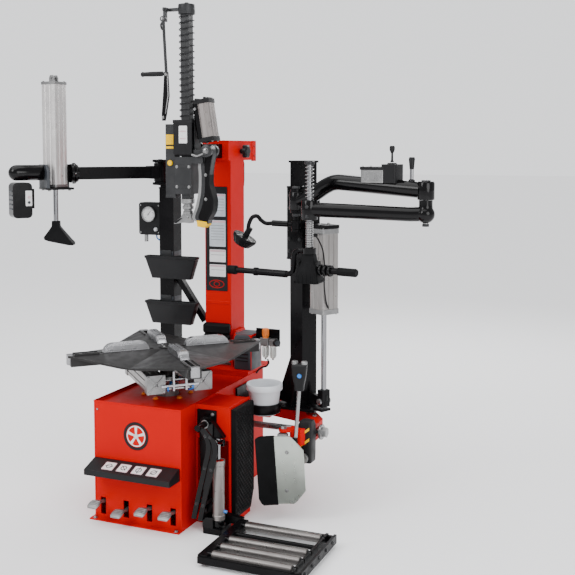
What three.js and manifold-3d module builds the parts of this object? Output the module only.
// A leverless tire changer: cabinet with turntable, tilting column with tool head, two
// bead press arms, side bead breaker, wheel lift and air supply. Millimetres, +Z up.
// Origin: on the floor, under the turntable's axis. +X is the operator's right, +Y the rear.
import * as THREE from 'three';
import { mergeVertices } from 'three/addons/utils/BufferGeometryUtils.js';
import { ConvexGeometry } from 'three/addons/geometries/ConvexGeometry.js';
import Module from 'manifold-3d';

const wasm = await Module();
wasm.setup();

// Driving dimensions ---------------------------------------------------------------------
const GAP = 0.3;                       // left between pieces that touch
const SHEET = 4;                       // sheet steel thickness
const CABINET = { x: 230, front: -280, rear: 620, height: 560, deck: 548, flange: 28 };
const SIDE_BOX = { left: 230 + GAP, right: 408, front: -140, rear: 70, top: 552 };
const TABLE = { top: 775, edge: 735, tip: 475, turn: 0, spindle: 36 };
const JAW = { inner: 90, outer: 311, width: 46, top: 815 };
const DRIVE = { x: -60, wormZ: 380, motorZ: 170, beltY: -150, beltWidth: 25, big: 82, small: 28 };
const COLUMN = { x: 10, width: 152, front: 530, depth: 163, bottom: 595, pivotY: 640, pivotZ: 650 };
const HEAD = { front: 505, rear: 841, bottom: 1668, top: 1768 };
const ARM = { x: 10, width: 76, bottom: 1682, top: 1753 };
const SHAFT = { x: -10, y: 240, width: 46, bottom: 1480, top: 2395, capTop: 2440 };
const GUIDE = { bottom: 1692, top: 1868 };
const LEFT_POST = { x: -301.5, y: 573, width: 87, top: 1520 };
const LEFT_HINGE = { x: -315, y: 492, z: 1604, turn: -126.5, reach: 573 };
const RIGHT_POST = { x: 564, y: 362, turn: -27.6, width: 92, bottom: 462, top: 1670 };
const LIFT_ROD = { offset: 152, width: 105, bottom: 940, top: 1350, rod: 12.5 };
const RIGHT_HINGE = { x: 566, y: 262, z: 1480 };
const ELBOW = { x: 1240, y: 110 };
const PLUNGER = { x: 700, y: 95 };
const BUCKET = { x: 436, y: 176, bottom: 452, ringLow: 462, ringHigh: 506, rim: 572, top: 600 };
const CLAMP = { turn: 90, half: 225, offset: 112, barrel: 41, plate: 44, low: 608, high: 694 };
const BREAKER = { x: 300, y: 520, bottom: 350, top: 428, rodY: 190, rodZ: 389, tailX: -185 };
const BLADE = { x: 588, y: 54, turn: 10, bottom: 85, top: 402 };
const LIFT = { x: 300, z: 480, armFront: -176, armRear: -146 };
const PLATFORM = { left: 460, right: 925, front: -560, rear: -150, bottom: 14, top: 52 };
const ROLLER = { radius: 19, z: 44, left: 512, right: 872, rows: [-525, -443, -362, -200] };
const LIFT_RAM = { x: 383, y: -212, pinX: 75, pinZ: -64 };
const PEDAL = { xs: [-186, -62, 62, 186], pivotY: -60, pivotZ: 80, plateFront: -385, half: 35 };

// Materials ------------------------------------------------------------------------------
const finish = (color, roughness, metalness) => (
  new THREE.MeshStandardMaterial({ color, roughness, metalness }));
const RED = finish(0xc4161c, 0.35, 0.1);
const BLACK = finish(0x141417, 0.45, 0.2);
const GREY = finish(0x55585c, 0.5, 0.5);
const STEEL = finish(0xb9bdc2, 0.3, 1.0);
const ALUMINIUM = finish(0xc9ccd0, 0.35, 0.9);
const RUBBER = finish(0x1b1b1c, 0.85, 0.0);
const PLASTIC = finish(0x1d1e21, 0.6, 0.0);
const PALE = finish(0xcfd2d6, 0.5, 0.0);
const BLUE = finish(0x1c63b8, 0.4, 0.0);

// Shape helpers --------------------------------------------------------------------------
function toSolid(geometry) {
  geometry.deleteAttribute('normal');
  geometry.deleteAttribute('uv');
  const merged = mergeVertices(geometry, 1e-4);
  const corners = [];
  for (let i = 0; i < merged.index.count; i += 3) {
    const [a, b, c] = [0, 1, 2].map((k) => merged.index.getX(i + k));
    if (a !== b && b !== c && c !== a) corners.push(a, b, c);
  }
  return new wasm.Manifold(new wasm.Mesh({
    numProp: 3,
    vertProperties: new Float32Array(merged.attributes.position.array),
    triVerts: new Uint32Array(corners),
  }));
}

function toGeometry(solid) {
  const mesh = solid.getMesh();
  const geometry = new THREE.BufferGeometry();
  geometry.setAttribute('position', new THREE.BufferAttribute(mesh.vertProperties, 3));
  geometry.setIndex(new THREE.BufferAttribute(mesh.triVerts, 1));
  geometry.computeVertexNormals();
  return geometry;
}

const join = (first, ...rest) => rest.reduce((sum, next) => sum.add(next), first);
const cut = (first, ...rest) => rest.reduce((sum, next) => sum.subtract(next), first);

function box(x0, x1, y0, y1, z0, z1) {
  const geometry = new THREE.BoxGeometry(x1 - x0, y1 - y0, z1 - z0);
  geometry.translate((x0 + x1) / 2, (y0 + y1) / 2, (z0 + z1) / 2);
  return toSolid(geometry);
}

// A round bar between two points; radiusB makes it a cone.
function rod(from, to, radius, sides = 16, radiusB = radius) {
  const start = new THREE.Vector3(...from);
  const end = new THREE.Vector3(...to);
  const along = end.clone().sub(start);
  const geometry = new THREE.CylinderGeometry(radiusB, radius, along.length(), sides);
  const turn = new THREE.Quaternion().setFromUnitVectors(
    new THREE.Vector3(0, 1, 0), along.clone().normalize());
  geometry.applyQuaternion(turn);
  geometry.translate(...start.add(end).multiplyScalar(0.5).toArray());
  return toSolid(geometry);
}

// A bar of rectangular section between two points, its width level and its height upright.
function bar(from, to, width, height) {
  const start = new THREE.Vector3(...from);
  const end = new THREE.Vector3(...to);
  const along = end.clone().sub(start);
  const geometry = new THREE.BoxGeometry(along.length(), width, height);
  const forward = along.clone().normalize();
  const side = new THREE.Vector3(0, 0, 1).cross(forward).normalize();
  const up = forward.clone().cross(side);
  geometry.applyMatrix4(new THREE.Matrix4().makeBasis(forward, side, up));
  geometry.translate(...start.add(end).multiplyScalar(0.5).toArray());
  return toSolid(geometry);
}

// An outline pushed along X, Y or Z. Its points are (y,z), (x,z) or (x,y).
function prism(axis, points, from, to) {
  const shape = new THREE.Shape(points.map(([a, b]) => new THREE.Vector2(a, b)));
  const geometry = new THREE.ExtrudeGeometry(shape, {
    depth: to - from, bevelEnabled: false, steps: 1 });
  geometry.translate(0, 0, from);
  const basis = new THREE.Matrix4();
  const [X, Y, Z] = [[1, 0, 0], [0, 1, 0], [0, 0, 1]].map((v) => new THREE.Vector3(...v));
  if (axis === 'x') basis.makeBasis(Y, Z, X);
  if (axis === 'y') basis.makeBasis(X, Z, Y.clone().negate());
  geometry.applyMatrix4(basis);
  if (axis === 'y') geometry.translate(0, from + to, 0);
  return toSolid(geometry);
}

// A turned shape about Z; the profile's points are (radius, z).
function turned(profile, sides = 24) {
  const geometry = new THREE.LatheGeometry(
    profile.map(([r, z]) => new THREE.Vector2(r, z)), sides);
  geometry.rotateX(Math.PI / 2);
  return toSolid(geometry);
}

// A round tube along a path of straight runs with rounded corners.
function bentBar(points, radius, sides = 10, steps = 16, tension = 0.2) {
  const path = new THREE.CatmullRomCurve3(
    points.map((p) => new THREE.Vector3(...p)), false, 'catmullrom', tension);
  const section = new THREE.Shape();
  for (let i = 0; i < sides; i += 1) {
    const angle = (2 * Math.PI * i) / sides;
    const [x, y] = [radius * Math.cos(angle), radius * Math.sin(angle)];
    if (i === 0) section.moveTo(x, y);
    else section.lineTo(x, y);
  }
  return toSolid(new THREE.ExtrudeGeometry(section, { steps, extrudePath: path }));
}

// A coil spring about an upright axis, of four-sided wire.
function coilSpring({ x = 0, y = 0, radius, wire, start, end, turns, steps }) {
  const points = [];
  for (let i = 0; i <= turns * steps; i += 1) {
    const angle = (2 * Math.PI * i) / steps;
    points.push(new THREE.Vector3(x + radius * Math.cos(angle), y + radius * Math.sin(angle),
      start + ((end - start) * i) / (turns * steps)));
  }
  const section = new THREE.Shape([0, 1, 2, 3].map((i) => (
    new THREE.Vector2(wire * Math.cos((i * Math.PI) / 2), wire * Math.sin((i * Math.PI) / 2)))));
  return toSolid(new THREE.ExtrudeGeometry(section, {
    steps: turns * steps, extrudePath: new THREE.CatmullRomCurve3(points) }));
}

// The same solid turned about Z, tipped about Y and moved.
function placed(solid, { turn = 0, tip = 0, at = [0, 0, 0] }) {
  const geometry = toGeometry(solid);
  geometry.rotateY(THREE.MathUtils.degToRad(tip));
  geometry.rotateZ(THREE.MathUtils.degToRad(turn));
  geometry.translate(...at);
  return toSolid(geometry);
}

function mesh(name, solid, material) {
  const result = new THREE.Mesh(toGeometry(solid), material);
  result.name = name;
  return result;
}

function group(at, turnDegrees, ...children) {
  const result = new THREE.Group();
  result.position.set(...at);
  result.rotation.z = THREE.MathUtils.degToRad(turnDegrees);
  result.add(...children);
  return result;
}

// Cabinet --------------------------------------------------------------------------------

// The sheet steel cabinet, open below its deck, with the drive and breaker cut-outs.
function cabinet() {
  const { x, front, rear, height, deck, flange } = CABINET;
  let shell = join(
    box(-x, x, front, rear, 0, height),
    box(-x - 15, x + 0.1, front - flange, rear + flange, 0, 6));
  shell = cut(shell,
    box(-x + SHEET, x - SHEET, front + SHEET, rear - SHEET, deck, height + 1),
    box(-x + SHEET, x - SHEET, front + SHEET, rear - SHEET, 6, deck - SHEET),
    rod([0, 0, deck - 10], [0, 0, height], 62),
    box(x - 10, x + 10, BREAKER.rodY - 36, BREAKER.rodY + 88, BREAKER.rodZ - 24, BREAKER.rodZ + 24));
  PEDAL.xs.forEach((px) => {
    shell = cut(shell, box(px - 14, px + 14, front - 1, front + 10, 24, 104));
  });
  for (const cx of [-x + 10, x - 20]) {
    for (const cy of [front - 15, rear + 15]) {
      shell = cut(shell, rod([cx, cy, -1], [cx, cy, 7], 7, 12));
    }
  }
  const axle = rod([-x + 2, PEDAL.pivotY, PEDAL.pivotZ], [x - 2, PEDAL.pivotY, PEDAL.pivotZ], 8, 16);
  return mesh('cabinet', join(shell, axle, breakerHinge(), cylinderClevis()), RED);
}

// The lugs and pin on the cabinet's right wall that carry the bead breaker's arm.
function breakerHinge() {
  const { x, y, bottom, top } = BREAKER;
  const wall = CABINET.x - 1;
  const lugs = [bottom - 16, top + 2].map((z) => box(wall, x + 26, y - 30, y + 30, z, z + 14));
  const pin = rod([x, y, bottom - 10], [x, y, top + 10], 16, 20);
  const plate = box(wall, wall + 12, y - 60, y + 60, bottom - 40, top + 40);
  return join(...lugs, pin, plate);
}

// The lugs and pin inside the left wall that hold the breaker cylinder's tail.
function cylinderClevis() {
  const { tailX, rodY, rodZ } = BREAKER;
  const lugs = [16, -24].map((dz) => (
    box(-CABINET.x + 1, tailX + 15, rodY - 18, rodY + 18, rodZ + dz, rodZ + dz + 8)));
  return join(...lugs, rod([tailX, rodY, rodZ - 25], [tailX, rodY, rodZ + 25], 8, 16));
}

// The ledge above the pedals that carries the operating symbols.
function controlTray() {
  const y = CABINET.front - GAP;
  const outline = [[y, 292], [y, 236], [y - 95, 236], [y - 95, 262], [y - 10, 292]];
  return mesh('control_tray', prism('x', outline, -226, 222), PLASTIC);
}

// The box on the cabinet's right that the wheel lift hangs from.
function sideBox() {
  const { left, right, front, rear, top } = SIDE_BOX;
  const shell = cut(box(left, right, front, rear, 0, top),
    box(left + 10, right - 10, front - 1, rear - 10, 20, 400));
  const pivot = rod([LIFT.x, front + 5, LIFT.z], [LIFT.x, LIFT.armFront - 12, LIFT.z], 14, 16);
  const foot = box(left + 90, right, -242, front + 5, 0, 25);
  const lugLeft = box(left + 92, left + 140, -242, -184, 20, 72);
  return mesh('side_box', join(shell, pivot, foot, lugLeft, liftRam()), RED);
}

function beadPad() {
  const x = SIDE_BOX.right + GAP;
  const outline = [[-135, 40], [30, 40], [60, 110], [60, 545], [-135, 545]];
  return mesh('bead_pad', prism('x', outline, x, x + 26), RUBBER);
}

// A pedal: a lever on the axle, through its slot, with a foot plate outside.
function pedal(name, x, drop) {
  const { pivotY, pivotZ, plateFront, half } = PEDAL;
  const z = pivotZ - drop;
  const lever = prism('x', [
    [pivotY, pivotZ - 12], [pivotY, pivotZ + 12], [-290, z + 10], [-330, z + 22],
    [plateFront, z + 2], [plateFront, z - 6], [-330, z + 12], [-290, z - 12]], x - 6, x + 6);
  const plate = prism('x', [
    [-326, z + 24], [plateFront, z + 2], [plateFront - 4, z - 16], [plateFront + 2, z - 16],
    [plateFront + 3, z - 4], [-326, z + 16]], x - half, x + half);
  const hub = rod([x - 20, pivotY, pivotZ], [x + 20, pivotY, pivotZ], 15, 16);
  const bore = rod([x - 30, pivotY, pivotZ], [x + 30, pivotY, pivotZ], 8.6, 16);
  return mesh(name, cut(join(lever, plate, hub), bore), GREY);
}

// Drive inside the cabinet ---------------------------------------------------------------
function gearbox() {
  const { x, wormZ, beltY } = DRIVE;
  const neckTop = 600;
  const body = join(
    box(-100, 100, -110, 110, 320, 470),
    box(-130, 130, -70, 70, 470, CABINET.deck - SHEET - GAP),
    rod([0, 0, 460], [0, 0, neckTop], 56),
    rod([x, -100, wormZ], [x, beltY + 2, wormZ], 10, 16));
  return mesh('gearbox', cut(body, rod([0, 0, 482], [0, 0, neckTop + 1], 26, 20)), GREY);
}

function motor() {
  const { x, motorZ, beltY } = DRIVE;
  const body = join(
    rod([x, -112, motorZ], [x, 90, motorZ], 68, 20),
    rod([x, 85, motorZ], [x, 112, motorZ], 58, 20),
    box(x - 60, x + 60, -20, 80, 6 + GAP, motorZ - 30),
    box(x - 40, x + 40, -40, 40, motorZ + 40, motorZ + 95),
    rod([x, -100, motorZ], [x, beltY + 2, motorZ], 10, 16));
  return mesh('motor', body, GREY);
}

function pulley(name, z, radius) {
  const { x, beltY, beltWidth } = DRIVE;
  const wheel = rod([x, beltY - 2, z], [x, beltY + beltWidth, z], radius - 3, 20);
  const bore = rod([x, beltY - 5, z], [x, beltY + beltWidth + 5, z], 10.4, 16);
  return mesh(name, cut(wheel, bore), ALUMINIUM);
}

function driveBelt() {
  const { x, wormZ, motorZ, beltY, beltWidth, big, small } = DRIVE;
  const loop = (extra) => {
    const points = [];
    const steps = 10;
    const lean = Math.asin((big - small) / (wormZ - motorZ));
    for (let i = 0; i <= steps; i += 1) {
      const a = -lean + ((Math.PI + 2 * lean) * i) / steps;
      points.push([x + (big + extra) * Math.cos(a), wormZ + (big + extra) * Math.sin(a)]);
    }
    for (let i = 0; i <= steps; i += 1) {
      const a = Math.PI + lean + ((Math.PI - 2 * lean) * i) / steps;
      points.push([x + (small + extra) * Math.cos(a), motorZ + (small + extra) * Math.sin(a)]);
    }
    return points;
  };
  const outer = prism('y', loop(5), beltY + 2, beltY + beltWidth - 2);
  const inner = prism('y', loop(-1), beltY, beltY + beltWidth);
  return mesh('drive_belt', cut(outer, inner), RUBBER);
}

function breakerCylinder() {
  const { rodY, rodZ, tailX } = BREAKER;
  const nose = 212;
  const body = join(
    rod([-160, rodY, rodZ], [nose, rodY, rodZ], 68, 20),
    box(nose - 14, nose, rodY - 66, rodY + 66, rodZ - 66, rodZ + 66),
    box(tailX, -158, rodY - 10, rodY + 10, rodZ - 13, rodZ + 13),
    rod([tailX, rodY, rodZ - 15], [tailX, rodY, rodZ + 15], 16, 16));
  return mesh('breaker_cylinder', cut(body,
    rod([tailX, rodY, rodZ - 20], [tailX, rodY, rodZ + 20], 8.6, 16),
    rod([-150, rodY, rodZ], [nose + 1, rodY, rodZ], 22, 20)), ALUMINIUM);
}

// Turntable, modelled about its own axis with a jaw track along local +X --------------------

// A four-winged star of sheet steel, its wings folded down, on a stepped spindle.
function turntablePlate() {
  const { top, edge, tip, spindle } = TABLE;
  const middle = tip / 2;
  const wing = toSolid(new ConvexGeometry([
    [tip, 20, top], [tip, -20, top], [tip, 20, edge], [tip, -20, edge],
    [0, 24, top], [0, -24, top], [0, 24, edge], [0, -24, edge],
    [middle, middle, edge], [middle, -middle, edge], [middle, middle, edge + 6],
    [middle, -middle, edge + 6]].map((p) => new THREE.Vector3(...p))));
  const rib = box(60, tip - 12, -32, 32, edge - 12, top - 8);
  const wings = [0, 90, 180, 270].map((turn) => placed(wing, { turn }));
  const ribs = [0, 90, 180, 270].map((turn) => placed(rib, { turn }));
  const solidStar = join(...wings);
  const underside = placed(solidStar, { at: [0, 0, -10] });
  const tracks = [0, 90, 180, 270].map((turn) => (
    placed(box(66, tip - 35, -10.3, 10.3, edge - 20, top + 5), { turn })));
  const shell = join(cut(solidStar, underside), ...ribs,
    rod([0, 0, 690], [0, 0, top - 4], 70, 20),
    rod([0, 0, 601], [0, 0, 700], spindle, 20),
    rod([0, 0, 490], [0, 0, 610], 25.4, 20));
  return mesh('turntable', cut(shell, ...tracks), GREY);
}

// A clamping jaw that slides in the track of its wing.
function jaw(index) {
  const { inner, outer, width, top } = JAW;
  const base = TABLE.top + GAP;
  const body = prism('y', [
    [inner, base], [outer, base], [outer - 12, base + 24], [outer - 42, top],
    [inner + 34, top], [inner + 6, base + 20]], -width / 2, width / 2);
  const groove = prism('y', [
    [inner + 30, base + 14], [outer - 30, base + 14], [outer - 52, top - 10],
    [inner + 52, top - 10]], -width / 2 - 1, -width / 2 + 4);
  const otherGroove = placed(groove, { at: [0, width - 3, 0] });
  const guide = box(inner + 40, inner + 120, -10, 10, TABLE.edge - 22, base + 1);
  return mesh(`jaw_${index}`, join(cut(body, groove, otherGroove), guide), ALUMINIUM);
}

// Two square air cylinders beside the spindle, tied by their end plates and the rotary valve.
function clampCylinders() {
  const { half, offset, barrel, plate, low, high } = CLAMP;
  const tube = (y) => box(-half + 40, half - 40, y - barrel, y + barrel, low + 3, high - 3);
  const ends = [-half, half - 40].map((x) => [-offset, offset].map((y) => (
    box(x, x + 40, y - plate, y + plate, low, high)))).flat();
  const ties = [-half + 10, -8, half - 24].map((x) => (
    box(x, x + 14, -offset + 32, offset - 32, low + 6, low + 26)));
  const valve = rod([0, 0, 604], [0, 0, 640], 54, 20);
  const bore = rod([0, 0, 600], [0, 0, 645], 37, 24);
  return mesh('clamp_cylinders',
    cut(join(tube(-offset), tube(offset), ...ends, ...ties, valve), bore), ALUMINIUM);
}

function turntable() {
  const jaws = [0, 1, 2, 3].map((i) => group([0, 0, 0], 90 * i, jaw(i + 1)));
  return group([0, 0, 0], 45 + TABLE.turn, turntablePlate(), ...jaws,
    group([0, 0, 0], CLAMP.turn, clampCylinders()));
}

// Tilting column -------------------------------------------------------------------------

// The hinge block behind the turntable that the column tilts in.
function columnMount() {
  const { x, width, pivotY, pivotZ } = COLUMN;
  const [left, right] = [x - width / 2 - 3, x + width / 2 + 3];
  const foot = prism('x', [
    [440, CABINET.deck + GAP], [615, CABINET.deck + GAP], [615, 560.6], [720, 560.6],
    [720, 575], [440, 575]], left - 10, 225);
  const cheekLine = [[520, 570], [720, 570], [710, 700], [670, 762], [560, 762], [520, 700]];
  const cheeks = [left - 10, right].map((px) => prism('x', cheekLine, px, px + 10));
  const pin = rod([left - 20, pivotY, pivotZ], [right + 20, pivotY, pivotZ], 20, 20);
  const airBox = box(126, 225, 480, 612, 570, 760);
  return mesh('column_mount', join(foot, ...cheeks, pin, airBox), RED);
}

// The column's tube with the head that the slide arm passes through.
function column() {
  const { x, width, front, depth, bottom, pivotY, pivotZ } = COLUMN;
  const [x0, x1] = [x - width / 2, x + width / 2];
  const tube = cut(box(x0, x1, front, front + depth, bottom, HEAD.bottom + 5),
    box(x0 + 6, x1 - 6, front + 6, front + depth - 6, bottom - 1, HEAD.bottom - 10));
  const head = box(x0, x1, HEAD.front, HEAD.rear, HEAD.bottom, HEAD.top);
  const channel = box(ARM.x - ARM.width / 2 - 1, ARM.x + ARM.width / 2 + 1, HEAD.front - 1,
    HEAD.rear + 1, ARM.bottom - 1, ARM.top + 1);
  const lockHousing = box(x0 + 30, x1 - 30, front + depth, front + depth + 42, 1530, HEAD.bottom + 2);
  const spigot = rod([x1 - 2, 655, 1716], [x1 + 40, 655, 1716], 7, 14);
  const bore = rod([x0 - 5, pivotY, pivotZ], [x1 + 5, pivotY, pivotZ], 20.6, 20);
  return mesh('column', cut(join(tube, head, lockHousing, spigot), channel, bore), RED);
}

function columnBoot() {
  const { x, width, front } = COLUMN;
  const [x0, x1] = [x - width / 2, x + width / 2];
  const ribs = [0, 1, 2, 3].map((i) => box(x0, x1, front - 38, front - GAP, 694 + 28 * i, 714 + 28 * i));
  const core = box(x0 + 3, x1 - 3, front - 30, front - GAP, 690, 804);
  return mesh('column_boot', join(core, ...ribs), RUBBER);
}

function lockKnob() {
  const x = COLUMN.x + COLUMN.width / 2 + GAP;
  const knob = join(
    rod([x + 22, 655, 1716], [x + 46, 655, 1716], 38, 20),
    rod([x + 2, 655, 1716], [x + 24, 655, 1716], 14, 16));
  return mesh('lock_knob', cut(knob, rod([x, 655, 1716], [x + 41, 655, 1716], 7.4, 14)), BLACK);
}

// Tool head ------------------------------------------------------------------------------

// The horizontal beam and the shaft's square guide at its front end.
function slideArm() {
  const { x, width, bottom, top } = ARM;
  const beam = box(x - width / 2, x + width / 2, 290, HEAD.rear + 14, bottom, top);
  const guide = box(SHAFT.x - 48, SHAFT.x + 48, SHAFT.y - 48, 300, GUIDE.bottom, GUIDE.top);
  const half = SHAFT.width / 2 + 0.4;
  const bore = box(SHAFT.x - half, SHAFT.x + half, SHAFT.y - half, SHAFT.y + half,
    GUIDE.bottom - 1, GUIDE.top + 1);
  return mesh('slide_arm', cut(join(beam, guide), bore), BLACK);
}

// The square shaft with its sleeve, lock housing and the fork that holds the hook.
function toolShaft() {
  const { x, y, width, bottom, top, capTop } = SHAFT;
  const half = width / 2;
  const shaft = join(
    box(x - half, x + half, y - half, y + half, bottom, top + 2),
    rod([x, y, top], [x, y, capTop], 41, 20),
    box(x - 112, x, y - 10, y + 8, capTop - 30, capTop - 14),
    box(x - 112, x - 94, y - 44, y + 8, capTop - 30, capTop - 14),
    box(x - 112, x - 94, y - 38, y - 26, capTop - 84, capTop - 20));
  const sleeve = box(x - 50, x + 42, y - 42, y + 42, 1504, GUIDE.bottom - 3);
  const lockTube = box(x - 112, x - 58, y - 24, y + 26, 1488, 1846);
  const straps = join(
    box(x - 60, x - 48, y - 20, y + 20, 1520, 1560),
    box(x - 60, x - 48, y - 20, y + 20, 1630, 1670));
  const bracket = join(
    box(x + 40, x + 106, y - 42, y - 26, 1656, GUIDE.bottom - 3),
    box(x + 40, x + 106, y + 26, y + 42, 1656, GUIDE.bottom - 3),
    box(x + 52, x + 106, y - 42, y - 26, 1656, 1724),
    box(x + 52, x + 106, y + 26, y + 42, 1656, 1724),
    box(x + 52, x + 58, y - 30, y + 30, 1664, 1892),
    rod([x + 126, y - 42, 1718], [x + 126, y - 26, 1718], 30, 20),
    rod([x + 126, y + 26, 1718], [x + 126, y + 42, 1718], 30, 20));
  const pin = rod([x + 126, y - 46, 1718], [x + 126, y + 46, 1718], 9, 14);
  return mesh('tool_shaft', join(shaft, sleeve, lockTube, straps, bracket, pin), GREY);
}

// The return spring round the shaft, between its guide and its cap.
function shaftSpring() {
  const { x, y, top } = SHAFT;
  return mesh('shaft_spring', coilSpring({
    x, y, radius: 37, wire: 3, start: GUIDE.top + 4, end: top - 4, turns: 17, steps: 10 }), STEEL);
}

function pullHandle() {
  const [x, y] = [SHAFT.x - 103, SHAFT.y - 50];
  const top = SHAFT.capTop - 72;
  const handle = join(
    rod([x, y - 8, top], [x, y + 10, top], 15, 16),
    rod([x, y, top], [x + 14, y, 2100], 8, 12),
    rod([x + 18, y, 2100], [x - 128, y, 2100], 12, 16),
    prism('y', [[x + 4, 2104], [x + 24, 2104], [x + 30, 1990], [x + 12, 1900], [x + 6, 1872],
      [x - 10, 1872], [x - 12, 1900], [x - 6, 1990]], y - 7, y + 7));
  return mesh('pull_handle', handle, BLACK);
}

function toolCylinder() {
  const body = join(
    box(-38, 38, -38, 38, -88, 88),
    box(-42, 42, -42, 42, 84, 106),
    box(-42, 42, -42, 42, -106, -84));
  return group([SHAFT.x + 108, SHAFT.y, 1868], 0,
    mesh('tool_cylinder', placed(body, { tip: -9 }), ALUMINIUM));
}

// The curved lever that lifts the tyre's bead.
function hookTool() {
  const [px, pz] = [SHAFT.x + 126, 1718];
  const outline = [
    [px - 40, 1712], [px - 28, 1738], [px, 1750], [px + 22, 1740], [px + 26, 1712],
    [px + 12, 1640], [px + 4, 1566], [px + 18, 1520], [px + 30, 1472], [px + 24, 1422],
    [px, 1386], [px - 6, 1356], [px - 40, 1340], [px - 52, 1352], [px - 50, 1376],
    [px - 92, 1376], [px - 92, 1398], [px - 70, 1440], [px - 50, 1520], [px - 46, 1600],
    [px - 52, 1664]];
  const body = prism('y', outline, SHAFT.y - 25.6, SHAFT.y + 25.6);
  const bore = rod([px, SHAFT.y - 40, pz], [px, SHAFT.y + 40, pz], 9.6, 14);
  return mesh('hook_tool', cut(body, bore), GREY);
}

function mountHead() {
  const { x, y, bottom } = SHAFT;
  const head = turned([[0, bottom - 10 - GAP], [24, bottom - 10 - GAP], [24, 1444], [20, 1440],
    [24, 1436], [24, 1424], [20, 1420], [24, 1416], [24, 1404], [0, 1404]].reverse(), 20);
  const beak = prism('y', [[-66, 1356], [-58, 1352], [20, 1358], [30, 1376], [22, 1406], [-22, 1406],
    [-30, 1382]], -20, 20);
  const flange = rod([0, 0, bottom - 14], [0, 0, bottom - GAP], 34, 20);
  return group([x, y, 0], 0, mesh('mount_head', join(head, beak, flange), STEEL));
}

// Left press arm -------------------------------------------------------------------------

// The post behind the cabinet's left side, with hinge lugs and a brace.
function leftPost() {
  const { x, y, width, top } = LEFT_POST;
  const half = width / 2;
  const wall = -CABINET.x - GAP;
  const post = cut(box(x - half, x + half, y - half, y + half, 20, top),
    box(x - half + 5, x + half - 5, y - half + 5, y + half - 5, 19, top - 6));
  const brackets = [60, 420].map((z) => join(
    box(x + half - 1, wall, y - 30, y + 30, z, z + 12),
    box(wall - 8, wall, y - 40, y + 40, z - 20, z + 80)));
  const { x: hx, y: hy, z: hz } = LEFT_HINGE;
  const lugs = [-62, 50].map((dz) => join(
    bar([x, y, hz + dz + 6], [hx, hy, hz + dz + 6], 60, 12),
    rod([hx, hy, hz + dz], [hx, hy, hz + dz + 12], 30, 20)));
  const backPlate = box(x - 30, x + 30, y - half, y - half + 12, top - 60, hz + 62);
  const pin = rod([hx, hy, hz - 70], [hx, hy, hz + 70], 12, 16);
  const brace = bar([x + 30, y, 1060], [-92, 580, 800], 40, 30);
  const cap = box(x - half + 4, x + half - 4, y - half + 4, y + half - 4, top - 8, hz + 62);
  return mesh('left_post', join(post, ...brackets, ...lugs, backPlate, pin, cap, brace), BLACK);
}

// Two open bins on the front of the post.
function toolBins() {
  const front = LEFT_POST.y - LEFT_POST.width / 2 - GAP;
  const bin = (z) => {
    const outer = prism('x', [[front, z], [front - 44, z], [front - 50, z + 120], [front, z + 120]],
      -412, -100);
    const inner = prism('x', [[front - 3, z + 4], [front - 41, z + 4], [front - 47, z + 122],
      [front - 3, z + 122]], -409, -103);
    return cut(outer, inner);
  };
  const strap = box(LEFT_POST.x - 30, LEFT_POST.x + 30, front - 4, front, 790, 1120);
  return mesh('tool_bins', join(bin(1030), bin(785), strap), PLASTIC);
}

function gaugeBox() {
  const right = LEFT_POST.x - LEFT_POST.width / 2 - GAP;
  const body = join(
    box(right - 140, right, 548, 604, 1255, 1435),
    rod([right - 72, 550, 1370], [right - 72, 532, 1370], 44, 20),
    rod([right - 30, 550, 1290], [right - 30, 520, 1290], 9, 12),
    rod([right - 110, 576, 1215], [right - 110, 576, 1258], 12, 12));
  return mesh('gauge_box', body, BLACK);
}

// The arm is modelled along its own +X from the hinge, with z counted from its axis.
function leftArm() {
  const { reach } = LEFT_HINGE;
  const tube = cut(box(30, reach - 62, -32, 32, -32, 32), box(40, reach - 70, -27, 27, -27, 27),
    rod([300, 0, -40], [300, 0, 0], 4, 10));
  const barrel = rod([0, 0, -49], [0, 0, 49], 32, 20);
  const web = box(10, 60, -26, 26, -42, 42);
  const socket = box(reach - 96, reach - 64, -40, 40, -48, 48);
  const clampBlock = box(reach - 66, reach + 70, -70, 70, -74, 46);
  const plate = prism('y', [[reach + 66, -74], [reach + 128, -74], [reach + 128, 60],
    [reach + 96, 60], [reach + 66, 10]], -34, 34);
  const tankLine = [[0, reach + 120], [36, reach + 120]];
  for (let i = 0; i <= 6; i += 1) {
    const angle = (Math.PI / 2) * (i / 6);
    tankLine.push([36 * Math.cos(angle), reach + 196 + 36 * Math.sin(angle)]);
  }
  const tank = placed(turned(tankLine, 20), { tip: 90, at: [0, 0, 6] });
  const bore = rod([0, 0, -60], [0, 0, 60], 12.6, 16);
  const half = 47;
  const pocket = placed(box(-half, half, -half, half, -90, 60), { turn: 29, at: [reach, 0, 0] });
  return mesh('left_arm', cut(join(tube, barrel, web, socket, clampBlock, plate, tank), bore, pocket),
    BLACK);
}

// The upright air cylinder, clamped in the arm's square pocket.
function pressCylinder() {
  const half = 46.6;
  const [bottom, top] = [-68, 462];
  const body = join(
    box(-half, half, -half, half, bottom, bottom + 40),
    box(-half, half, -half, half, top - 30, top),
    box(-half + 2, half - 2, -half + 2, half - 2, bottom + 38, top - 28),
    box(-18, -8, -14, 14, top - 2, top + 34),
    box(8, 18, -14, 14, top - 2, top + 34),
    rod([-20, 0, top + 22], [20, 0, top + 22], 8, 12));
  const bore = rod([0, 0, bottom - 5], [0, 0, top - 40], 13, 20);
  return mesh('press_cylinder', placed(cut(body, bore), { turn: 29 }), ALUMINIUM);
}

function pressRod() {
  const foot = turned([[0, -360], [52, -360], [56, -350], [56, -330], [30, -262], [22, -240],
    [12.4, -240], [12.4, 330], [0, 330]], 20);
  return mesh('press_rod', foot, STEEL);
}

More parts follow.
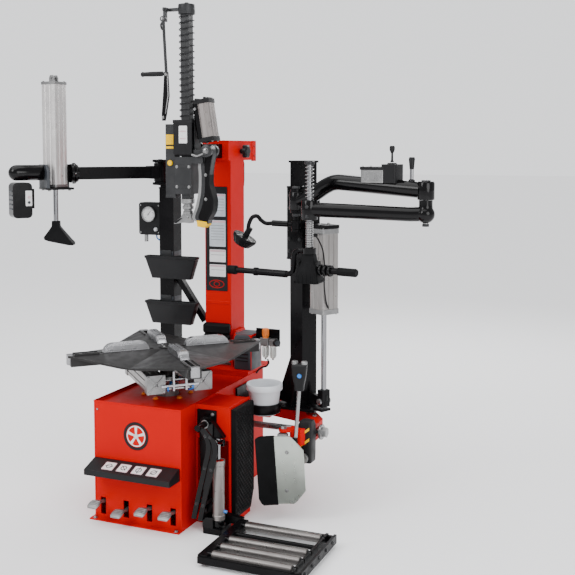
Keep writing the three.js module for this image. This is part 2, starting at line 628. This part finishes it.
function controlBox() {
  const x = LEFT_HINGE.reach + 176;
  const body = join(
    prism('y', [[x - 48, -198], [x + 40, -222], [x + 52, -214], [x + 52, -60], [x + 30, -40],
      [x - 30, -40], [x - 48, -60]], -42, 42),
    box(x - 62, x - 44, -20, 20, -170, -74 - GAP));
  return mesh('control_box', body, BLACK);
}

function leftSide() {
  const { x, y, z, turn, reach } = LEFT_HINGE;
  const press = group([reach, 0, 0], 0, pressCylinder(), pressRod());
  return [leftPost(), toolBins(), gaugeBox(),
    group([x, y, z], turn, leftArm(), press, controlBox())];
}

// Right press arm ------------------------------------------------------------------------

// The right post on its beam, with the bucket's holder.
function rightPost() {
  const { x, y, turn, width, bottom, top } = RIGHT_POST;
  const half = width / 2;
  const tube = cut(box(-half, half, -half, half, bottom - 2, top),
    box(-half + 5, half - 5, -half + 5, half - 5, bottom + 2, top - 8),
    rod([0, half - 8, 640], [0, half + 1, 640], 12, 16));
  const cap = box(-half - 6, half + 6, -half - 6, half + 6, top - 8, top);
  const gussets = [-1, 1].map((side) => prism('y', [[side * (half - 1), bottom - 2],
    [side * (half + 36), bottom - 2], [side * (half - 1), bottom + 130]], -6, 6));
  const frontGusset = prism('x', [[-half + 1, bottom - 2], [-half - 40, bottom - 2],
    [-half + 1, bottom + 130]], -6, 6);
  const { offset } = LIFT_ROD;
  const lug = prism('y', [[half - 1, 486], [half - 1, 540], [offset - 4, 524], [offset + 20, 512],
    [offset + 20, 494], [offset - 4, 486]], -10, 10);
  const upright = placed(join(tube, cap, ...gussets, frontGusset, lug, postRod()),
    { turn, at: [x, y, 0] });
  const wall = CABINET.x + GAP;
  const beamBottom = BREAKER.top + 10;
  const plate = box(x - 92, x + 92, y - 84, y + 84, bottom - 12, bottom);
  const beam = box(wall, x + 60, 320, 404, beamBottom, bottom - 6);
  const wallPlate = box(wall, wall + 10, 280, 444, beamBottom - 60, 530);
  const { ring, hanger } = bucketRing();
  return mesh('right_post', join(upright, plate, beam, wallPlate, ring, hanger), BLACK);
}

// The bucket's outer radius at a height, below its rim.
function pailRadius(z) {
  return 64 + (z - BUCKET.bottom) / 8;
}

// A tapered band round the bucket's foot, on a strap from the beam.
function bucketRing() {
  const { x, y, ringLow, ringHigh } = BUCKET;
  const [from, to] = [ringLow - 1, ringHigh + 1];
  const bore = placed(turned([[0, from], [pailRadius(from) + 1.2, from],
    [pailRadius(to) + 1.2, to], [0, to]], 20), { at: [x, y, 0] });
  const ring = cut(rod([x, y, ringLow], [x, y, ringHigh], 77, 20), bore);
  const hanger = join(box(x - 14, x + 14, y + 74, 332, ringLow, ringLow + 30),
    box(x - 14, x + 14, 322, 332, 440, ringLow + 30));
  return { ring, hanger };
}

function bucket() {
  const { x, y, bottom, rim, top } = BUCKET;
  const pail = turned([[0, bottom], [pailRadius(bottom), bottom], [pailRadius(rim), rim],
    [88, rim], [88, top], [79, top], [61, bottom + 4], [0, bottom + 4]], 20);
  return group([x, y, 0], 0, mesh('bucket', pail, PALE));
}

// The fixed piston rod beside the post, forked over the post's lug; local +X leads to it.
function postRod() {
  const { offset, rod: radius } = LIFT_ROD;
  return join(
    rod([offset, 0, 540], [offset, 0, 978], radius, 16),
    box(offset - 18, offset + 18, -24, 24, 484, 566));
}

// The sleeve that rides on the post and carries the arm's hinge.
function carriage() {
  const half = RIGHT_POST.width / 2;
  const { offset, width } = LIFT_ROD;
  const [z0, z1] = [1190, 1545];
  const sleeve = cut(box(-half - 11, half + 11, -half - 11, half + 11, z0, z1),
    box(-half - 1, half + 1, -half - 1, half + 1, z0 - 1, z1 + 1));
  const clamp = join(
    box(half + 8, offset - width / 2 - GAP, -30, 30, 1200, 1240),
    box(half + 8, offset - width / 2 - GAP, -30, 30, 1300, 1340));
  return mesh('carriage', join(sleeve, clamp, ...hingeLugs()), BLACK);
}

// The arm's hinge point, seen from the post's turned frame.
function hingeInPostFrame() {
  const point = new THREE.Vector3(RIGHT_HINGE.x - RIGHT_POST.x, RIGHT_HINGE.y - RIGHT_POST.y, 0);
  return point.applyAxisAngle(new THREE.Vector3(0, 0, 1), -THREE.MathUtils.degToRad(RIGHT_POST.turn));
}

function hingeLugs() {
  const { x, y } = hingeInPostFrame();
  const z = RIGHT_HINGE.z;
  const rootY = -RIGHT_POST.width / 2 - 5;
  const lugs = [-58, 44].map((dz) => join(
    bar([x, rootY, z + dz + 6], [x, y, z + dz + 6], 56, 12),
    rod([x, y, z + dz], [x, y, z + dz + 12], 28, 20)));
  const pin = rod([x, y, z - 150], [x, y, z + 62], 12, 16);
  const lower = join(
    bar([x, rootY, z - 144], [x, y, z - 144], 44, 12),
    rod([x, y, z - 150], [x, y, z - 138], 22, 20));
  return [...lugs, pin, lower];
}

function liftCylinder() {
  const { offset, width, bottom, top, rod: radius } = LIFT_ROD;
  const half = width / 2;
  const body = join(
    box(-half, half, -half, half, bottom, bottom + 34),
    box(-half + 2, half - 2, -half + 2, half - 2, bottom + 30, top - 30),
    box(-half, half, -half, half, top - 34, top));
  const bore = rod([0, 0, bottom - 1], [0, 0, top - 20], radius + 0.6, 16);
  return mesh('lift_cylinder', placed(cut(body, bore), { at: [offset, 0, 0] }), ALUMINIUM);
}

const armReach = Math.hypot(ELBOW.x - RIGHT_HINGE.x, ELBOW.y - RIGHT_HINGE.y);
const armTurn = THREE.MathUtils.radToDeg(
  Math.atan2(ELBOW.y - RIGHT_HINGE.y, ELBOW.x - RIGHT_HINGE.x));

// The upper arm along local +X from its hinge on the carriage; z counted from the hinge.
function rightArm() {
  const barrel = rod([0, 0, -45], [0, 0, 43], 27, 20);
  const knee = [205, 0, 92];
  const rise = join(bar([44, 0, 8], knee, 48, 62), box(10, 60, -20, 20, -42, 38));
  const span = bar([190, 0, 92], [armReach - 26, 0, 68], 48, 62);
  const kneeJoint = rod([205, -24, 90], [205, 24, 90], 31, 20);
  const end = join(
    rod([armReach, 0, 30], [armReach, 0, 104], 34, 20),
    box(armReach - 60, armReach, -30, 30, 34, 100));
  const pin = rod([armReach, 0, -84], [armReach, 0, 50], 12, 16);
  const bore = rod([0, 0, -60], [0, 0, 60], 12.6, 16);
  return mesh('right_arm', cut(join(barrel, rise, span, kneeJoint, end, pin, valveBox()), bore), BLACK);
}

// The control valve's housing on top of the upper arm.
function valveBox() {
  const at = armReach * 0.68;
  return join(
    box(at - 84, at + 84, -46, 46, 96, 178),
    rod([at + 52, 0, 176], [at + 52, 0, 186], 20, 20));
}

function joystick() {
  const at = armReach * 0.68 + 52;
  const stick = join(
    rod([at, 0, 188], [at, 0, 240], 5, 12),
    rod([at, 0, 236], [at, 0, 262], 13, 16),
    rod([at, 0, 190], [at, 0, 194], 8, 16));
  return mesh('joystick', stick, BLACK);
}

const foreReach = Math.hypot(PLUNGER.x - ELBOW.x, PLUNGER.y - ELBOW.y);
const foreTurn = THREE.MathUtils.radToDeg(
  Math.atan2(PLUNGER.y - ELBOW.y, PLUNGER.x - ELBOW.x));

// The forearm along local +X from the elbow to the plunger's guide.
function forearm() {
  const tube = bentBar([[26, 0, -38], [70, 0, -38], [foreReach - 90, 0, -30],
    [foreReach - 24, 0, -30]], 30, 12, 6);
  const barrel = rod([0, 0, -76], [0, 0, 28], 30, 20);
  const guide = rod([foreReach, 0, -72], [foreReach, 0, 14], 32, 20);
  return mesh('forearm', cut(join(tube, barrel, guide),
    rod([0, 0, -90], [0, 0, 60], 12.6, 16),
    rod([foreReach, 0, -90], [foreReach, 0, 40], 13.2, 16)), BLACK);
}

function plungerRod() {
  const shaft = turned([[0, -368], [56, -368], [60, -358], [44, -270], [20, -240], [20, -214],
    [12.6, -214], [12.6, 178], [22, 178], [22, 192], [0, 192]], 20);
  const grip = join(
    bar([0, 0, -304], [-150, 36, -304], 26, 22),
    rod([-110, 26, -304], [-238, 56, -304], 16, 14));
  const pivot = rod([0, 0, -240], [0, 0, -196], 16, 16);
  return mesh('plunger_rod', join(shaft, grip, pivot), BLACK);
}

function plungerSpring() {
  return mesh('plunger_spring', coilSpring({
    radius: 19, wire: 2.6, start: 20, end: 170, turns: 9, steps: 9 }), STEEL);
}

// A long bar that swings from the plunger and carries a small roller at its far end.
function rollerBar() {
  const eye = cut(rod([0, 0, -234], [0, 0, -206], 30, 20), rod([0, 0, -240], [0, 0, -200], 20.8, 20));
  const arm = join(
    bar([26, 0, -220], [90, 0, -220], 24, 20),
    box(70, 94, -12, 12, -344, -210));
  const beam = join(arm,
    bar([82, 0, -334], [400, 0, -334], 26, 20),
    rod([398, 0, -334], [452, 0, -334], 19, 16, 12));
  return mesh('roller_bar', join(eye, beam), BLACK);
}

// A cranked arm below the carriage's hinge that carries a bead disc.
function discArm() {
  const z = RIGHT_HINGE.z;
  const hub = cut(rod([0, 0, z - 136], [0, 0, z - 96], 22, 20),
    rod([0, 0, z - 140], [0, 0, z - 90], 12.6, 16));
  const tube = bentBar([[18, 0, z - 116], [90, 0, z - 112], [190, 0, z - 108], [226, 0, z - 124],
    [240, 0, z - 152]], 11, 8, 10, 0.4);
  const disc = join(
    rod([236, 0, z - 140], [262, 0, z - 186], 15, 16),
    rod([256, 0, z - 176], [282, 0, z - 222], 62, 24, 40));
  return mesh('disc_arm', join(hub, tube, disc), BLACK);
}

function rightSide() {
  const { x, y, turn } = RIGHT_POST;
  const elbowGroup = group([ELBOW.x, ELBOW.y, RIGHT_HINGE.z], foreTurn, forearm());
  const plungerGroup = group([PLUNGER.x, PLUNGER.y, RIGHT_HINGE.z], foreTurn,
    plungerRod(), plungerSpring());
  const rollerGroup = group([PLUNGER.x, PLUNGER.y, RIGHT_HINGE.z], 172, rollerBar());
  const armGroup = group([RIGHT_HINGE.x, RIGHT_HINGE.y, RIGHT_HINGE.z], armTurn,
    rightArm(), joystick());
  const discGroup = group([RIGHT_HINGE.x, RIGHT_HINGE.y, 0], 186, discArm());
  return [rightPost(), bucket(), group([x, y, 0], turn, carriage(), liftCylinder()),
    armGroup, elbowGroup, plungerGroup, rollerGroup, discGroup];
}

// Bead breaker ---------------------------------------------------------------------------

// The curved arm round the post's foot, with the blade's hinge at its end.
function breakerArm() {
  const { x, y, bottom, top, rodY, rodZ } = BREAKER;
  const z = (bottom + top) / 2;
  const path = [[x, y], [540, 448], [676, 262], [676, 128], [636, 78]];
  const height = top - bottom;
  const runs = path.slice(1).map(([px, py], i) => (
    bar([...path[i], z], [px, py, z], 56, height)));
  const knuckles = path.map(([px, py]) => rod([px, py, bottom], [px, py, top], 28, 16));
  const lugs = [bottom - 6, top - 14].map((from) => join(
    bar([636, 78, from + 7], [BLADE.x, BLADE.y, from + 7], 44, 14),
    rod([BLADE.x, BLADE.y, from], [BLADE.x, BLADE.y, from + 14], 22, 16)));
  const root = box(636 - 28, 636 + 30, 60, 110, bottom - 6, top);
  const clear = rod([BLADE.x, BLADE.y, bottom + 8], [BLADE.x, BLADE.y, top - 14], 34, 16);
  const pin = rod([BLADE.x, BLADE.y, bottom - 2], [BLADE.x, BLADE.y, top - 2], 9, 14);
  const slot = box(600, 760, rodY - 44, rodY + 44, rodZ - 20, rodZ + 20);
  const bore = rod([x, y, bottom - 1], [x, y, top + 1], 16.6, 20);
  return mesh('breaker_arm',
    join(cut(join(...runs, ...knuckles, root), bore, slot, clear), ...lugs, pin), RED);
}

function breakerRod() {
  const { rodY, rodZ } = BREAKER;
  const shaft = rod([-60, rodY, rodZ], [735, rodY, rodZ], 15, 20);
  const piston = rod([-60, rodY, rodZ], [-42, rodY, rodZ], 21.4, 20);
  const nut = join(
    rod([730, rodY, rodZ], [754, rodY, rodZ], 24, 6),
    rod([722, rodY, rodZ], [731, rodY, rodZ], 36, 20));
  return mesh('breaker_rod', join(shaft, piston, nut), STEEL);
}

// The blade about its hinge: faces local -Y, with a control handle above its outer end.
function breakerBlade() {
  const { bottom, top } = BLADE;
  const face = [[-118, -66], [-60, -46], [40, -40], [112, -52]];
  const runs = face.slice(1).map(([px, py], i) => {
    const [qx, qy] = face[i];
    return bar([qx, qy, (bottom + top) / 2], [px, py, (bottom + top) / 2], 10, top - bottom);
  });
  const folds = face.map(([px, py]) => rod([px, py, bottom], [px, py, top], 5, 10));
  const clip = placed(box(-70, 70, -30, 30, -70, 70), { tip: 45, at: [150, -50, top + 30] });
  const clipLow = placed(box(-70, 70, -30, 30, -70, 70), { tip: 45, at: [150, -50, bottom - 30] });
  const plate = cut(join(...runs, ...folds), clip, clipLow);
  const arm = bar([10, -40, 392], [0, -12, 392], 40, 36);
  const knuckle = rod([0, 0, 366], [0, 0, 406], 20, 16);
  const bracket = box(52, 72, -46, -20, 366, 396);
  const handleRod = rod([62, -28, 380], [80, -22, 640], 8, 14);
  const grip = placed(prism('y', [[-20, 0], [20, 0], [28, 40], [34, 118], [-34, 118], [-28, 40]],
    -20, 20), { at: [80, -22, 622] });
  const button = rod([84, -45, 690], [84, -34, 690], 11.5, 16);
  const bore = rod([0, 0, 360], [0, 0, 410], 9.6, 14);
  return mesh('breaker_blade', cut(join(plate, arm, knuckle, bracket, handleRod, grip), bore, button),
    STEEL);
}

function blueButton() {
  return mesh('blue_button', rod([84, -48, 690], [84, -38, 690], 10.8, 16), BLUE);
}

function beadBreaker() {
  return [breakerArm(), breakerRod(), breakerCylinder(),
    group([BLADE.x, BLADE.y, 0], BLADE.turn, breakerBlade(), blueButton())];
}

// Wheel lift -----------------------------------------------------------------------------

// The wheel lift: a swinging plate and the low platform that holds the rollers.
function liftFrame() {
  const { x, z, armFront, armRear } = LIFT;
  const p = PLATFORM;
  const hub = rod([x, armFront, z], [x, armRear, z], 32, 20);
  const plateLine = [[x - 34, z], [x - 22, 40], [x, p.bottom + 20], [p.left + 20, p.bottom + 20],
    [p.left + 20, 62], [x + 50, 78], [x + 24, 120], [x + 34, z]];
  const plate = prism('y', plateLine, armFront, armRear);
  const { y: ramY, pinX, pinZ } = LIFT_RAM;
  const crank = join(
    prism('y', [[x, z - 34], [x + pinX, z + pinZ - 16], [x + pinX + 14, z + pinZ + 8],
      [x + 20, z + 26]], armFront, armRear),
    rod([x + pinX, armRear, z + pinZ], [x + pinX, ramY - 14, z + pinZ], 6.5, 14));
  const bore = rod([x, armFront - 5, z], [x, armRear + 5, z], 14.6, 16);
  const rails = join(
    box(p.left, p.left + 42, p.front, p.rear, p.bottom, p.top),
    box(876, 888, p.front, p.rear, p.bottom, p.top),
    box(p.right - 12, p.right, p.front, p.rear, p.bottom, p.top),
    box(p.left, p.right, p.front, p.front + 10, p.bottom, p.top - 6),
    box(p.left, p.right, p.rear - 14, p.rear, p.bottom, p.top - 6),
    rod([p.left + 30, -281, 36], [880, -281, 36], 10, 14));
  const holes = ROLLER.rows.map((y) => join(
    rod([p.left + 26, y, ROLLER.z], [p.left + 50, y, ROLLER.z], 8.3, 14),
    rod([872, y, ROLLER.z], [892, y, ROLLER.z], 8.3, 14)));
  const openTops = ROLLER.rows.map((y) => join(
    box(p.left + 26, p.left + 50, y - 8, y + 8, ROLLER.z, p.top + 1),
    box(872, 892, y - 8, y + 8, ROLLER.z, p.top + 1)));
  return mesh('lift_frame', cut(join(cut(join(hub, plate, crank), bore), rails), ...holes, ...openTops),
    BLACK);
}

function roller(index) {
  const { radius, z, left, right, rows } = ROLLER;
  const y = rows[index];
  const body = join(
    rod([left, y, z], [right, y, z], radius, 20),
    rod([PLATFORM.left + 28, y, z], [886, y, z], 8, 12));
  return mesh(`roller_${index + 1}`, body, STEEL);
}

// The ram's fixed barrel, standing on the side box's foot.
function liftRam() {
  const { x, y } = LIFT_RAM;
  return cut(rod([x, y, 20], [x, y, 330], 24, 20), rod([x, y, 100], [x, y, 331], 10.6, 16));
}

// The plunger ends in a slotted eye, because the crank's pin swings in an arc.
function liftPlunger() {
  const { x, y, pinX, pinZ } = LIFT_RAM;
  const pin = LIFT.z + pinZ;
  const reach = Math.hypot(pinX, pinZ);
  const eye = cut(
    box(x - 26, LIFT.x + reach + 14, y - 7, y + 7, pin - 16, pin + 16),
    box(LIFT.x + pinX - 9, LIFT.x + reach + 8, y - 8, y + 8, pin - 9.5, pin + 9.5));
  return mesh('lift_plunger', join(rod([x, y, 150], [x, y, pin - 12], 10, 16), eye), STEEL);
}

// Air supply -----------------------------------------------------------------------------
function filterRegulator() {
  const [x, y] = [290, 520];
  const side = 225 + GAP;
  const unit = join(
    box(side, x + 70, y + 20, y + 28, 700, 772),
    box(x - 26, x + 62, y - 22, y + 21, 706, 744),
    rod([x, y, 744], [x, y, 796], 17, 16),
    rod([x, y, 640], [x, y, 710], 17.5, 16),
    rod([x + 40, y, 640], [x + 40, y, 710], 17.5, 16),
    rod([x + 60, y - 4, 726], [x + 78, y - 4, 726], 18.3, 20));
  return mesh('filter_regulator', unit, STEEL);
}

// The whole machine ----------------------------------------------------------------------
function driveTrain() {
  const { wormZ, motorZ, big, small } = DRIVE;
  return [gearbox(), motor(), pulley('gearbox_pulley', wormZ, big),
    pulley('motor_pulley', motorZ, small), driveBelt()];
}

function pedals() {
  const names = ['bead_pedal', 'clamp_pedal', 'tilt_pedal', 'turn_pedal'];
  const drops = [0, 26, 0, 0];
  return names.map((name, i) => pedal(name, PEDAL.xs[i], drops[i]));
}

function toolHead() {
  return [slideArm(), toolShaft(), shaftSpring(), pullHandle(), toolCylinder(), hookTool(),
    mountHead()];
}

function wheelLift() {
  return [liftFrame(), ...ROLLER.rows.map((_, i) => roller(i)), liftPlunger()];
}

const machine = new THREE.Group();
machine.name = 'tire_changer';
machine.add(
  cabinet(), controlTray(), sideBox(), beadPad(), ...pedals(), ...driveTrain(), turntable(),
  columnMount(), column(), columnBoot(), lockKnob(), ...toolHead(), ...leftSide(),
  ...rightSide(), ...beadBreaker(), ...wheelLift(), filterRegulator());

export default machine;
